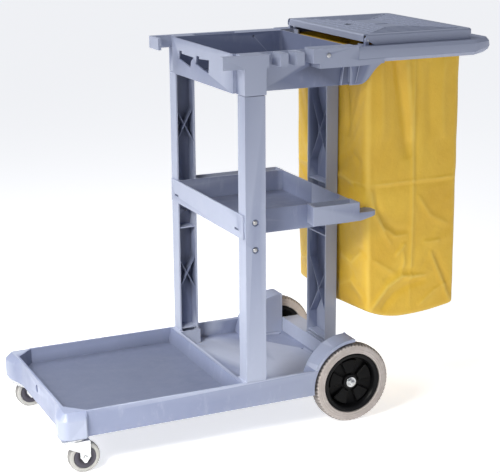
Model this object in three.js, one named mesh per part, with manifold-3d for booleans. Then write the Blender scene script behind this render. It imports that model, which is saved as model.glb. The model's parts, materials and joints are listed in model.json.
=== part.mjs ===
// Housekeeping cart: moulded platform on two rear wheels and two swivel casters,
// three posts, a middle shelf, a top tray, and a lidded frame that holds a vinyl bag.
// Millimetres, +Z up. The cart is laid out with x = 0 at the platform's end wall and
// x growing towards the handle; the outer group then moves it so that the origin is
// the middle of its footprint on the floor.

import * as THREE from 'three';
import { mergeVertices } from 'three/addons/utils/BufferGeometryUtils.js';
import Module from 'manifold-3d';

const wasm = await Module();
wasm.setup();

// ---------------------------------------------------------------- driving dimensions

const GAP = 0.3;                 // clearance between pieces that touch
const SIDE = 234;                // half width of the platform
const SIDES = [['near', -1], ['far', 1]];

const BASE = { bottom: 88, deck: 112, floor: 5, rim: 151, wall: 6 };
const BASE_RIBS = { across: [150, 295, 590], along: [-110, 0, 110], thickness: 4, bottom: 92 };
const BUMPER = { x0: -20, flareY: 135, y1: 247, cornerX: 38, endX: 53, radius: 22, shoulder: 137, slope: 16 };
const DIVIDER = { x0: 436, x1: 446, foot: 8 };
const BOSS = { x0: 440, x1: 503, y0: 183, slot: [456, 492, 186, 205], slotFloor: 98 };
const RAIL = { x0: 746, x1: 794, ribs: [-58, 58], slot: [749.5, 754.8, 46], slotFloor: 120 };
const END_RECESS = { y: 12, z: 126, radius: 10, depth: 3.5 };
const DRAINS = { x: 728, sides: [23, 158], radius: 3 };
const FENDER = { inner: 108, outer: 116, wallY: 184, wallThickness: 4, rear: 5, tab: 3.5 };

const POST = { x0: 449.6, x1: 501.3, y0: 192, y1: 233, wall: 4, foot: 151.3, top: 842.6, spigot: 30 };
const POST_RIBS = { levels: [157, 434, 500, 838], crosses: [[262, 352], [662, 750]] };
const SPINE = { x0: 756, x1: 788, halfWidth: 52, wall: 4, foot: 151.3, top: 892 };
const SPINE_RIBS = { levels: [157, 434, 500, 572, 886], crosses: [[205, 358], [617, 787]] };
const RIB = { half: 1.3, shelf: 1.6, setback: 3, crossSetback: 8 };

const SHELF = { x0: 445.3, x1: 750, y: 190, wing: 225, bottom: 505.5, top: 563.3, wall: 4, floor: 4.5 };
const SHELF_SLOT = { y0: 178, y1: 201, z0: 521.5, z1: 527, depth: 2.8 };
const SHELF_SEAM = { y: 9, width: 1.4, depth: 0.8 };
const POCKET = { x0: 627, x1: 752, y: 233, bottom: 519, top: 565, tongue: 802, tongueTop: 539 };
const TROUGH = { x0: 503.5, x1: 752, y: 230, bottom: 519 };

const TRAY = { x0: 439.3, x1: 749, y: 186.3, bottom: 845, top: 936, wall: 4, floor: 4.5 };
const HANDRAIL = { x0: 395.9, x1: 511, bottom: 905.8, thickness: 17, hook: 64, farEnd: 642, bridge: 590 };
const TEETH = [[541, 560], [581, 601.5]];
const ARM = { x0: 625, x1: 744, ledge: 813, step: 641, lip: 907, bottom: 895, top: 941.2, seat: 910 };
const GUSSET = { end: 842, y0: 188.3, thickness: 4.5, root: 786 };
const BRACES = [[726, 881, 719, 846], [769, 881, 757, 848]];

const FRAME = { x0: 744.4, x1: 1138, y: 233, bottom: 901, top: 938.3, crossbar: 781, notch: 187 };
// The push handle's slanted corners: where they leave the sides, and where they meet the end.
const GRIP = { x: 1067, shoulder: [8, 200], endY: 190 };
// Height, inset of the sides and setback of the end, from the bottom of the frame up.
const FRAME_LEVELS = [[901, 5, 14], [909, 0, 4], [917, 0, 0], [929, 0, 2], [938.3, 4, 9]];
const MOUTH = { x0: 797, x1: 1058, y: 190, rebate: 12, ledge: 925, radius: 16, saddle: 160 };
const BAG = { x0: 799, x1: 1056, y: 187.5, bottom: 247, wall: 2.5, radius: 14, flange: 10 };
// How far the bag's front face stands out past x0 (positive) or in from it, from its foot up.
const BAG_LEVELS = [[247, -8], [261, -3], [430, 3], [640, 6.5], [893, 8], [900.5, 0], [927.8, 0]];
const CUFF = { x0: 776.5, thickness: 2.5, halfWidth: 157, drop: 20 };
const LID = { x0: 775, x1: 1079, y: 209, top: 964, plate: 4, skirt: 3, hem: 938.8, radius: 20 };
const HINGE_HEM = { z: 946, reach: 24 };
// Raised ribs on the lid: insets of the nested rings, rib width and height, and the pad in the middle.
const LID_RIBS = { insets: [28, 50, 72, 94, 116], width: 5, height: 1.1, radius: 8, pad: [908, 946, 20] };
const LID_NOTCH = { y0: 196, y1: 206, bottom: 957.5, depth: 1.6 };
const FINGER_HOLE = { x: 849, y: 8, radius: 12 };
const HINGE = { x: 781, z: 950, earY0: 196.5, earY1: 205.2, earRadius: 4.8, pinRadius: 2.2 };

const WHEEL = { x: 740.3, y: 214.8, radius: 101.5, seat: 76.5, halfWidth: 18 };
const HUB = { face: 13, back: 16, dish: 62, webFront: -3, webBack: 4, boss: 19, bore: 9.3, paddles: 5 };
const AXLE = { radius: 6, reach: 228.5 };
const CASTER = { x: 5, y: 223, trail: 34, radius: 38, halfWidth: 12, core: 26 };
const SCREW = { head: 5.8, headDepth: 2.6, shank: 2.4, length: 34, recess: 8.6, recessDepth: 2.4 };
const POST_SCREWS = [545, 479];
const POST_SCREW_X = 474.6;
const SPINE_SCREWS = [[-34, 530], [34, 530], [-34, 868], [34, 868]];
const ARM_SCREW = { x: 664, z: 925 };

// ---------------------------------------------------------------- solids and joins

function toSolid(geometry) {
  const bare = geometry.clone();
  bare.deleteAttribute('normal');
  bare.deleteAttribute('uv');
  const merged = mergeVertices(bare, 1e-4);
  return new wasm.Manifold(new wasm.Mesh({
    numProp: 3,
    vertProperties: merged.attributes.position.array.map((value) => Math.round(value * 1000) / 1000),
    triVerts: new Uint32Array(merged.index.array),
  }));
}

function toGeometry(solid) {
  const mesh = solid.getMesh();
  const geometry = new THREE.BufferGeometry();
  geometry.setAttribute('position', new THREE.BufferAttribute(mesh.vertProperties, 3));
  geometry.setIndex(new THREE.BufferAttribute(mesh.triVerts, 1));
  geometry.computeVertexNormals();
  return geometry;
}

function join(...solids) {
  return solids.flat().reduce((sum, solid) => sum.add(solid));
}

function cut(solid, ...tools) {
  return tools.flat().reduce((rest, tool) => rest.subtract(tool), solid);
}

function block(x0, x1, y0, y1, z0, z1) {
  const box = new THREE.BoxGeometry(x1 - x0, y1 - y0, z1 - z0);
  box.translate((x0 + x1) / 2, (y0 + y1) / 2, (z0 + z1) / 2);
  return toSolid(box);
}

// The same block on one side of the cart: y0 and y1 are distances from the middle plane.
function sideBlock(sign, x0, x1, y0, y1, z0, z1) {
  return sign > 0 ? block(x0, x1, y0, y1, z0, z1) : block(x0, x1, -y1, -y0, z0, z1);
}

function extrude(shape, depth, curveSegments = 8) {
  return new THREE.ExtrudeGeometry(shape, { depth, bevelEnabled: false, curveSegments });
}

function shapeOf(points) {
  return new THREE.Shape(points.map(([u, v]) => new THREE.Vector2(u, v)));
}

// Outline in plan, raised from z0 to z1.
function slab(shape, z0, z1, curveSegments) {
  const geometry = extrude(shape, z1 - z0, curveSegments);
  geometry.translate(0, 0, z0);
  return toSolid(geometry);
}

// Outline seen from the side (x, z), between y0 and y1.
function sidePlate(shape, y0, y1, curveSegments) {
  const geometry = extrude(shape, y1 - y0, curveSegments);
  geometry.rotateX(Math.PI / 2);
  geometry.translate(0, y1, 0);
  return toSolid(geometry);
}

// Outline seen from the end (y, z), between x0 and x1.
function endPlate(shape, x0, x1) {
  const geometry = extrude(shape, x1 - x0);
  geometry.rotateX(Math.PI / 2);
  geometry.rotateZ(Math.PI / 2);
  geometry.translate(x0, 0, 0);
  return toSolid(geometry);
}

function roundedRect(x0, x1, y0, y1, radii) {
  const [r00, r10, r11, r01] = Array.isArray(radii) ? radii : [radii, radii, radii, radii];
  const shape = new THREE.Shape();
  shape.moveTo(x0 + r00, y0);
  shape.lineTo(x1 - r10, y0);
  if (r10) shape.absarc(x1 - r10, y0 + r10, r10, -Math.PI / 2, 0, false);
  shape.lineTo(x1, y1 - r11);
  if (r11) shape.absarc(x1 - r11, y1 - r11, r11, 0, Math.PI / 2, false);
  shape.lineTo(x0 + r01, y1);
  if (r01) shape.absarc(x0 + r01, y1 - r01, r01, Math.PI / 2, Math.PI, false);
  shape.lineTo(x0, y0 + r00);
  if (r00) shape.absarc(x0 + r00, y0 + r00, r00, Math.PI, 1.5 * Math.PI, false);
  return shape;
}

// A closed skin over rings of equal point counts, lowest ring first, counter-clockwise in plan.
function loft(rings) {
  const count = rings[0].length;
  const positions = rings.flat().flatMap(([x, y, z]) => [x, y, z]);
  const faces = [];
  for (let ring = 0; ring + 1 < rings.length; ring += 1) {
    for (let i = 0; i < count; i += 1) {
      const next = (i + 1) % count;
      const a = ring * count + i;
      const b = ring * count + next;
      faces.push(a, b, b + count, a, b + count, a + count);
    }
  }
  const cap = THREE.ShapeUtils.triangulateShape(rings[0].map(([x, y]) => new THREE.Vector2(x, y)), []);
  const top = (rings.length - 1) * count;
  cap.forEach(([a, b, c]) => faces.push(a, c, b, top + a, top + b, top + c));
  const geometry = new THREE.BufferGeometry();
  geometry.setAttribute('position', new THREE.Float32BufferAttribute(positions, 3));
  geometry.setIndex(faces);
  return toSolid(geometry);
}

// A ring of the rounded rectangle's points at height z.
function ring(x0, x1, y0, y1, radii, z, divisions = 4) {
  const points = roundedRect(x0, x1, y0, y1, radii).extractPoints(divisions).shape;
  return points.map((p) => [p.x, p.y, z]);
}

// A round bar along 'x', 'y' or 'z' from one coordinate to another, centred at (u, v).
function bar(axis, from, to, u, v, radius, segments = 16) {
  const geometry = new THREE.CylinderGeometry(radius, radius, to - from, segments);
  const middle = (from + to) / 2;
  if (axis === 'x') {
    geometry.rotateZ(-Math.PI / 2);
    geometry.translate(middle, u, v);
  } else if (axis === 'y') {
    geometry.translate(u, middle, v);
  } else {
    geometry.rotateX(Math.PI / 2);
    geometry.translate(u, v, middle);
  }
  return toSolid(geometry);
}

// A turned piece: closed profile of [radius, along], about the Y axis or the Z axis.
function turned(profile, axis, segments = 32) {
  const points = profile.map(([radius, along]) => new THREE.Vector2(radius, along));
  points.push(points[0].clone());
  const geometry = new THREE.LatheGeometry(points, segments);
  if (axis === 'z') geometry.rotateX(Math.PI / 2);
  const solid = toSolid(geometry);
  return solid.volume() > 0 ? solid : toSolid(flipped(geometry));
}

function flipped(geometry) {
  const copy = geometry.clone();
  const index = copy.index.array;
  for (let i = 0; i < index.length; i += 3) {
    [index[i], index[i + 1]] = [index[i + 1], index[i]];
  }
  return copy;
}

// ---------------------------------------------------------------- materials

const LOOKS = {
  plastic: { color: 0x7f86a8, roughness: 0.5, metalness: 0 },
  bag: { color: 0xc9a64a, roughness: 0.4, metalness: 0 },
  hub: { color: 0x16161a, roughness: 0.45, metalness: 0 },
  tyre: { color: 0x9a9690, roughness: 0.8, metalness: 0 },
  core: { color: 0x5d5663, roughness: 0.5, metalness: 0 },
  zinc: { color: 0xc9ccd0, roughness: 0.3, metalness: 1 },
  steel: { color: 0x9c9fa3, roughness: 0.35, metalness: 1 },
};

function addPiece(parent, name, solid, look) {
  const mesh = new THREE.Mesh(toGeometry(solid), new THREE.MeshStandardMaterial(LOOKS[look]));
  mesh.name = name;
  parent.add(mesh);
  return mesh;
}

// ---------------------------------------------------------------- platform

// A smooth step from 0 to 1, level at both ends.
function ease(t) {
  return (1 - Math.cos(Math.PI * t)) / 2;
}

// Swollen corner: it flares out of the end wall and the side wall and its top slopes outwards.
function bumperCorner(sign) {
  const { x0, flareY, y1, cornerX, endX, radius, shoulder, slope } = BUMPER;
  const steps = [0, 1, 2, 3, 4, 5, 6];
  const centre = [x0 + radius, y1 - radius];
  const level = (inset, z) => {
    const points = [[BASE.wall - 1, flareY], [BASE.wall - 1, SIDE - 50], [50, SIDE - 5], [endX, SIDE - 5]];
    for (const step of steps) {
      const grown = ease(step / 6);
      const y = SIDE + (y1 - inset - SIDE) * grown;
      points.push([endX + (centre[0] + cornerX - endX) * (step / 6), y]);
    }
    for (const step of steps.slice(0, 6)) {
      const angle = (Math.PI / 2) * (1 + step / 5);
      const reach = radius - inset;
      points.push([centre[0] + reach * Math.cos(angle), centre[1] + reach * Math.sin(angle)]);
    }
    for (const step of steps) {
      const grown = ease(1 - step / 6);
      points.push([(x0 + inset) * grown, flareY + (centre[1] - 6 - flareY) * (1 - step / 6)]);
    }
    const placed = points.map(([x, y]) => [x, sign * y, z]);
    return sign > 0 ? placed : placed.reverse();
  };
  return loft([
    level(3, BASE.bottom),
    level(0, BASE.bottom + 5),
    level(0, shoulder - 4),
    level(2.5, shoulder + 1),
    level(slope, BASE.rim),
  ]);
}

// The hood over a rear wheel, and the plate that closes its inner side.
function fenderHood(sign) {
  const { inner, outer, wallY, wallThickness, tab } = FENDER;
  const rear = WHEEL.x + FENDER.rear;
  const top = WHEEL.radius + outer;
  const foot = (r) => Math.PI - Math.asin((BASE.bottom - WHEEL.radius) / r);
  const hood = new THREE.Shape();
  hood.absarc(WHEEL.x, WHEEL.radius, outer, foot(outer), Math.PI / 2, true);
  hood.lineTo(rear, top - 0.5);
  hood.lineTo(rear, WHEEL.radius + inner);
  hood.absarc(WHEEL.x, WHEEL.radius, inner, Math.PI / 2, foot(inner), false);
  const plate = new THREE.Shape();
  plate.absarc(WHEEL.x, WHEEL.radius, outer, foot(outer), Math.PI / 2, true);
  plate.lineTo(WHEEL.x + 1, top + tab);
  plate.lineTo(rear, top);
  plate.lineTo(rear, BASE.bottom);
  const along = (y0, y1) => (sign > 0 ? [y0, y1] : [-y1, -y0]);
  return join(
    sidePlate(hood, ...along(wallY - 1, SIDE), 12),
    sidePlate(plate, ...along(wallY - wallThickness, wallY), 12),
  );
}

function wheelWell(sign) {
  const [y0, y1] = sign > 0 ? [FENDER.wallY, SIDE + 1] : [-SIDE - 1, -FENDER.wallY];
  return bar('y', y0, y1, WHEEL.x, WHEEL.radius, FENDER.inner, 72);
}

function basePlatform() {
  const { bottom, deck, floor, rim, wall } = BASE;
  const underside = deck - floor;
  const innerWall = FENDER.wallY - FENDER.wallThickness;
  const arch = WHEEL.x - FENDER.inner + 15;
  const parts = [
    block(0, WHEEL.x, -innerWall, innerWall, underside, deck),
    block(0, wall, -SIDE + 40, SIDE - 40, bottom, rim),
    block(RAIL.x0, RAIL.x0 + wall, -innerWall, innerWall, bottom, rim),
    block(RAIL.x1 - wall, RAIL.x1, -innerWall, innerWall, bottom, rim),
    block(RAIL.x0, RAIL.x1, -innerWall, innerWall, rim - wall, rim),
    block(WHEEL.x - 14, RAIL.x0 + 4, -innerWall, innerWall, bottom, deck),
    sidePlate(shapeOf([
      [DIVIDER.x0 - DIVIDER.foot, deck - 1], [DIVIDER.x1, deck - 1],
      [DIVIDER.x1, rim], [DIVIDER.x0, rim],
    ]), -SIDE + 1, SIDE - 1),
  ];
  for (const [, sign] of SIDES) {
    parts.push(
      sideBlock(sign, 3, arch + 4, innerWall - 1, SIDE - 3, underside, deck),
      sideBlock(sign, 45, arch, SIDE - wall, SIDE, bottom, rim),
      sideBlock(sign, BOSS.x0, BOSS.x1, BOSS.y0, SIDE - 1, bottom, rim),
      sideBlock(sign, RAIL.x0 + 1, RAIL.x1 - 1, innerWall - 5, innerWall - 0.5, bottom + 1, rim - 1),
      bumperCorner(sign),
      fenderHood(sign),
    );
  }
  const half = BASE_RIBS.thickness / 2;
  for (const x of BASE_RIBS.across) {
    parts.push(block(x - half, x + half, -SIDE + 2, SIDE - 2, BASE_RIBS.bottom, deck - 1));
  }
  for (const y of BASE_RIBS.along) {
    parts.push(block(3, WHEEL.x, y - half, y + half, BASE_RIBS.bottom, deck - 1));
  }
  for (const y of RAIL.ribs) {
    parts.push(block(RAIL.x0 + 1, RAIL.x1 - 1, y - half, y + half, bottom + 1, rim - 1));
  }

  const [slotX0, slotX1, slotY0, slotY1] = BOSS.slot;
  const [railSlotX0, railSlotX1, railSlotY] = RAIL.slot;
  const cuts = [
    bar('y', -SIDE, SIDE, WHEEL.x, WHEEL.radius, AXLE.radius + GAP),
    spineSpigot(GAP),
    bar('x', -1, END_RECESS.depth, END_RECESS.y, END_RECESS.z, END_RECESS.radius),
    block(railSlotX0, railSlotX1, -railSlotY, railSlotY, RAIL.slotFloor, rim + 1),
    ...DRAINS.sides.map((y) => bar('z', underside - 1, deck + 1, DRAINS.x, y, DRAINS.radius, 12)),
  ];
  for (const [, sign] of SIDES) {
    cuts.push(
      postSocket(sign),
      wheelWell(sign),
      sideBlock(sign, slotX0, slotX1, slotY0, slotY1, BOSS.slotFloor, rim + 1),
      bar('z', bottom - 1, bottom + 14, CASTER.x, sign * CASTER.y, 5.4),
    );
  }
  return cut(join(parts), cuts);
}

// ---------------------------------------------------------------- posts

function postSpigot(sign, z0, z1, grow = 0) {
  const inset = POST.wall + GAP - grow;
  return sideBlock(sign, POST.x0 + inset, POST.x1 - inset, POST.y1 - 22, POST.y1 - inset, z0, z1);
}

function postSocket(sign) {
  return postSpigot(sign, POST.foot - POST.spigot - 2 * GAP, BASE.rim + 1, GAP);
}

function spineSpigot(grow) {
  return block(
    SPINE.x1 - 14 - grow, SPINE.x1 - 2 + grow,
    -SPINE.halfWidth + 8 - grow, SPINE.halfWidth - 8 + grow,
    SPINE.foot - POST.spigot - grow, SPINE.foot + 1,
  );
}

// Two thin ribs crossing in a channel. The channel runs up z, spans u0..u1 across, w0..w1 deep.
function crossRibs(acrossY, u0, u1, w0, w1, z0, z1) {
  const { half } = RIB;
  const lines = [[[u0, z0], [u1, z1]], [[u0, z1], [u1, z0]]];
  return lines.map(([[ua, za], [ub, zb]]) => {
    const shape = shapeOf([[ua, za - half], [ub, zb - half], [ub, zb + half], [ua, za + half]]);
    return acrossY ? endPlate(shape, w0, w1) : sidePlate(shape, w0, w1);
  });
}

function frontPost(sign) {
  const { x0, x1, y0, y1, wall, foot, top, spigot } = POST;
  const back = y1 - wall / 2;
  const depth = (front) => (sign > 0 ? [front, back] : [-back, -front]);
  const parts = [
    sideBlock(sign, x0, x1, y1 - wall, y1, foot, top),
    sideBlock(sign, x0, x0 + wall, y0, y1, foot, top),
    sideBlock(sign, x1 - wall, x1, y0, y1, foot, top),
    postSpigot(sign, foot - spigot, foot + 5),
    postSpigot(sign, top - 5, top + spigot),
  ];
  for (const z of POST_RIBS.levels) {
    parts.push(sideBlock(sign, x0 + 1, x1 - 1, y0 + RIB.setback, back, z - RIB.shelf, z + RIB.shelf));
  }
  for (const [z0, z1] of POST_RIBS.crosses) {
    parts.push(...crossRibs(false, x0 + 2, x1 - 2, ...depth(y0 + RIB.crossSetback), z0, z1));
  }
  return cut(join(parts), POST_SCREWS.map((z) => screwBore(sign, POST_SCREW_X, z)));
}

function rearPost() {
  const { x0, x1, halfWidth, wall, foot, top } = SPINE;
  const back = x1 - wall / 2;
  const parts = [
    block(x1 - wall, x1, -halfWidth, halfWidth, foot, top),
    block(x0, x1, -halfWidth, -halfWidth + wall, foot, top),
    block(x0, x1, halfWidth - wall, halfWidth, foot, top),
    spineSpigot(0),
  ];
  for (const z of SPINE_RIBS.levels) {
    parts.push(block(x0 + RIB.setback, back, -halfWidth + 1, halfWidth - 1, z - RIB.shelf, z + RIB.shelf));
  }
  for (const [z0, z1] of SPINE_RIBS.crosses) {
    parts.push(...crossRibs(true, -halfWidth + 2, halfWidth - 2, x0 + RIB.crossSetback, back, z0, z1));
  }
  return cut(join(parts), SPINE_SCREWS.map(([y, z]) => bar('x', x0 - 1, x1 + 1, y, z, SCREW.shank + GAP)));
}

// Blind holes for the spine screws in the end wall of the shelf or the tray, between two heights.
function spineScrewHoles(wallX, z0, z1) {
  const near = SPINE_SCREWS.filter(([, z]) => z > z0 && z < z1);
  return near.map(([y, z]) => bar('x', wallX - 2.4, wallX + 2, y, z, SCREW.shank + GAP));
}

// ---------------------------------------------------------------- shelf

function middleShelf() {
  const { x0, x1, y, wing, bottom, top, wall, floor } = SHELF;
  const outer = slab(roundedRect(x0, x1, -y, y, [0, 0, 0, 0]), bottom, top);
  const inside = roundedRect(x0 + wall, x1 - wall, -y + wall, y - wall, [6, 60, 14, 6]);
  const hollow = slab(inside, bottom + floor, top + 1, 10);
  const parts = [
    cut(outer, hollow),
    block(x0, x0 + wall, -wing, wing, bottom, top),
    pocketBox(),
    troughBox(),
  ];
  const seam = SHELF_SEAM;
  const tools = [
    ...spineScrewHoles(x1, bottom, top),
    bar('y', -SIDE, SIDE, POST_SCREW_X, POST_SCREWS[0], SCREW.shank + GAP),
    block(x1 - wall - 1, x1 - wall + seam.depth, seam.y, seam.y + seam.width, bottom + floor, top + 1),
  ];
  for (const [, sign] of SIDES) {
    const { y0, y1, z0, z1, depth } = SHELF_SLOT;
    tools.push(
      sideBlock(sign, POST.x0 - GAP, POST.x1 + GAP, POST.y0 - GAP, POST.y1 + 2, bottom - 1, top + 1),
      sideBlock(sign, x0 - 1, x0 + depth, y0, y1, z0, z1),
    );
  }
  return cut(join(parts), tools);
}

function pocketBox() {
  const { x0, x1, y, bottom, top, tongue, tongueTop } = POCKET;
  const wall = SHELF.wall;
  const outline = shapeOf([
    [x0, -y], [x1, -y], [x1, -SHELF.y + 1], [x0 + 5, -SHELF.y + 1],
  ]);
  const shell = slab(outline, bottom, top);
  const hollow = block(x0 + wall + 5, x1 - wall, -y + wall, -SHELF.y, bottom + wall, top + 1);
  const finger = slab(roundedRect(x1 - 2, tongue, -y, -SHELF.y, [0, 16, 16, 0]), bottom, tongueTop, 6);
  const taper = sidePlate(shapeOf([
    [x1 - 5, bottom - 2], [tongue + 5, bottom - 2], [tongue + 5, bottom + 12], [x1 + 4, bottom],
  ]), -y - 1, -SHELF.y + 1);
  return join(cut(shell, hollow), cut(finger, taper));
}

function troughBox() {
  const { x0, x1, y, bottom } = TROUGH;
  const wall = SHELF.wall;
  return cut(
    block(x0, x1, SHELF.y - 1, y, bottom, SHELF.top),
    block(x0 + wall, x1 - wall, SHELF.y, y - wall, bottom + wall, SHELF.top + 1),
  );
}

// ---------------------------------------------------------------- top tray

const HANGER_SLOTS = [
  [[140, 907], [121, 907], [121, 901], [45, 900], [61, 889], [66, 873], [142, 886]],
  [[28, 907], [10, 907], [10, 901], [-51, 905], [-48, 874], [-37, 873], [32, 886]],
];

function topTray() {
  const { x0, x1, y, bottom, top, wall, floor } = TRAY;
  const outer = slab(roundedRect(x0, x1, -y, y, [3, 3, 3, 3]), bottom, top, 3);
  const hollow = slab(roundedRect(x0 + wall, x1 - wall, -y + wall, y - wall, 10), bottom + floor, top + 1, 4);
  const parts = [cut(outer, hollow)];
  for (const [, sign] of SIDES) {
    parts.push(legSleeve(sign), handRail(sign), supportArm(sign), gusset(sign), ...braces(sign));
  }
  for (const [tx0, tx1] of TEETH) {
    parts.push(block(tx0, tx1, -SIDE + 1, -y + 1, HANDRAIL.bottom, top));
  }
  parts.push(
    sideBlock(1, HANDRAIL.x0, HANDRAIL.x0 + 8, POST.y1 - HANDRAIL.hook, POST.y1, HANDRAIL.bottom, top),
    sideBlock(1, HANDRAIL.bridge, HANDRAIL.farEnd, y - 1, POST.y1 - 1, HANDRAIL.bottom, HANDRAIL.bottom + 6),
  );
  const tools = [
    ...HANGER_SLOTS.map((points) => endPlate(shapeOf(points), x0 - 1, x0 + wall + 1)),
    ...spineScrewHoles(x1, bottom, top),
  ];
  for (const [, sign] of SIDES) {
    tools.push(sleeveSocket(sign), armScrewBore(sign));
  }
  return cut(join(parts), tools);
}

function legSleeve(sign) {
  const { x0, x1, y1 } = POST;
  return sideBlock(sign, x0, x1 + 3, TRAY.y - 1, y1, TRAY.bottom - 1, TRAY.top);
}

// The hollow in the sleeve that the post's top spigot stands in.
function sleeveSocket(sign) {
  const { x0, x1, y1, wall, top, spigot } = POST;
  return sideBlock(sign, x0 + wall, x1 - wall, y1 - 22 - GAP, y1 - wall, TRAY.bottom - 2, top + spigot + 1);
}

function handRail(sign) {
  const end = sign > 0 ? HANDRAIL.farEnd : HANDRAIL.x1;
  return sideBlock(sign, HANDRAIL.x0, end, POST.y1 - HANDRAIL.thickness, POST.y1, HANDRAIL.bottom, TRAY.top);
}

function supportArm(sign) {
  const { x0, x1, ledge, step, lip, bottom, seat } = ARM;
  const top = sign > 0 ? TRAY.top : ARM.top;
  const against = shapeOf([[x0, lip], [step, lip], [step, bottom], [x1, bottom], [x1, top], [x0, top]]);
  const beyond = shapeOf([[x1 - 1, bottom], [ledge, bottom + 3], [ledge, seat], [x1 - 1, seat]]);
  const span = (inner) => (sign > 0 ? [inner, POST.y1] : [-POST.y1, -inner]);
  return join(sidePlate(against, ...span(TRAY.y - 1)), sidePlate(beyond, ...span(GUSSET.y0)));
}

// The web under the arm, outside the bag, ending in a long curve.
function gusset(sign) {
  const { end, y0, thickness, root } = GUSSET;
  const shape = new THREE.Shape();
  shape.moveTo(TRAY.x1 - 6, TRAY.bottom - 1);
  shape.lineTo(766, TRAY.bottom - 1);
  shape.bezierCurveTo(800, TRAY.bottom - 1, 800, 884, end, ARM.bottom + 2);
  shape.lineTo(TRAY.x1 - 6, ARM.bottom + 2);
  const web = sidePlate(shape, ...(sign > 0 ? [y0, y0 + thickness] : [-y0 - thickness, -y0]), 8);
  const joint = sideBlock(sign, TRAY.x1 - 8, root, TRAY.y - 5, y0 + 1, TRAY.bottom + 6, ARM.bottom + 1);
  return join(web, joint);
}

// Two thin slanted ribs on the outside, from the arm down to the lower edge.
function braces(sign) {
  return BRACES.map(([topX, topZ, footX, footZ]) => {
    const high = topZ + 16;
    const shape = shapeOf([[footX - 1, footZ], [footX + 1, footZ], [topX + 1, high], [topX - 1, high]]);
    const face = topX < TRAY.x1 - 8 ? TRAY.y - 1 : GUSSET.y0 + 1;
    const reach = GUSSET.y0 + GUSSET.thickness + 2;
    return sidePlate(shape, ...(sign > 0 ? [face, reach] : [-reach, -face]));
  });
}

// ---------------------------------------------------------------- bag frame, bag and lid

function bagFrame() {
  const { x0, x1, y, bottom, top } = FRAME;
  const [setback, shoulderY] = GRIP.shoulder;
  const body = loft(FRAME_LEVELS.map(([z, inset, back]) => {
    const half = [
      [x0, y - inset], [GRIP.x, y - inset],
      [x1 - back - setback, shoulderY - inset], [x1 - back, GRIP.endY - inset],
    ];
    const nearHalf = half.map(([px, py]) => [px, -py, z]);
    const farHalf = half.map(([px, py]) => [px, py, z]).reverse();
    return [...nearHalf, ...farHalf];
  }));
  const { x0: m0, x1: m1, y: my, rebate, ledge, radius } = MOUTH;
  const mouth = slab(roundedRect(m0, m1, -my, my, radius), bottom - 1, top + 1, 5);
  const rebateOutline = roundedRect(m0 - rebate, m1 + rebate, -my - rebate, my + rebate, radius + rebate);
  const shelf = slab(rebateOutline, ledge, top + 1, 5);
  const front = block(x0 - 1, FRAME.crossbar, -FRAME.notch, FRAME.notch, bottom - 1, top + 1);
  const saddle = block(FRAME.crossbar - 1, m0 + 30, -MOUTH.saddle, MOUTH.saddle, ledge, top + 1);
  const tools = [mouth, shelf, front, saddle];
  const ears = [];
  for (const [, sign] of SIDES) {
    tools.push(sideBlock(sign, x0 - 1, ARM.ledge + GAP, 180, y + 1, bottom - 1, ARM.seat + GAP));
    ears.push(hingeEar(sign));
  }
  const pinBore = bar('y', -SIDE, SIDE, HINGE.x, HINGE.z, HINGE.pinRadius + GAP, 16);
  return cut(join(cut(body, tools), ears), pinBore);
}

function hingeEar(sign) {
  const shape = new THREE.Shape();
  shape.moveTo(HINGE.x - HINGE.earRadius, FRAME.top - 1);
  shape.lineTo(HINGE.x + HINGE.earRadius, FRAME.top - 1);
  shape.lineTo(HINGE.x + HINGE.earRadius, HINGE.z);
  shape.absarc(HINGE.x, HINGE.z, HINGE.earRadius, 0, Math.PI, false);
  const span = sign > 0 ? [HINGE.earY0, HINGE.earY1] : [-HINGE.earY1, -HINGE.earY0];
  const ear = sidePlate(shape, ...span, 8);
  const { x, earRadius, earY0, earY1 } = HINGE;
  const root = sideBlock(sign, x - earRadius, x + earRadius, earY0, earY1 + 6, MOUTH.ledge - 2, FRAME.top);
  return join(ear, root);
}

// The hanging bag: its mouth lies on the ledge, and its cuff folds over the crossbar.
function vinylBag() {
  const { x0, x1, y, bottom, wall, radius, flange } = BAG;
  const rim = MOUTH.ledge + GAP;
  const skin = (depth, foot, mouth) => loft(BAG_LEVELS.map(([z, out], index) => {
    const inset = depth + (index === 0 ? 8 : 0);
    const height = index === 0 ? foot : index === BAG_LEVELS.length - 1 ? mouth : z;
    return ring(x0 - out + depth, x1 - inset, -y + inset, y - inset, radius - depth, height, 4);
  }));
  const lip = slab(
    roundedRect(x0 - flange, x1 + flange, -y - flange, y + flange, radius + flange),
    rim, rim + wall, 4,
  );
  const { x0: cuffX, thickness, halfWidth, drop } = CUFF;
  const cuff = join(
    block(cuffX, x0, -halfWidth, halfWidth, rim, rim + wall),
    block(cuffX, cuffX + thickness, -halfWidth, halfWidth, rim - drop, rim + wall),
  );
  return cut(join(skin(0, bottom, rim + wall), lip, cuff), skin(wall, bottom + wall, MOUTH.ledge + 10));
}

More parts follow.
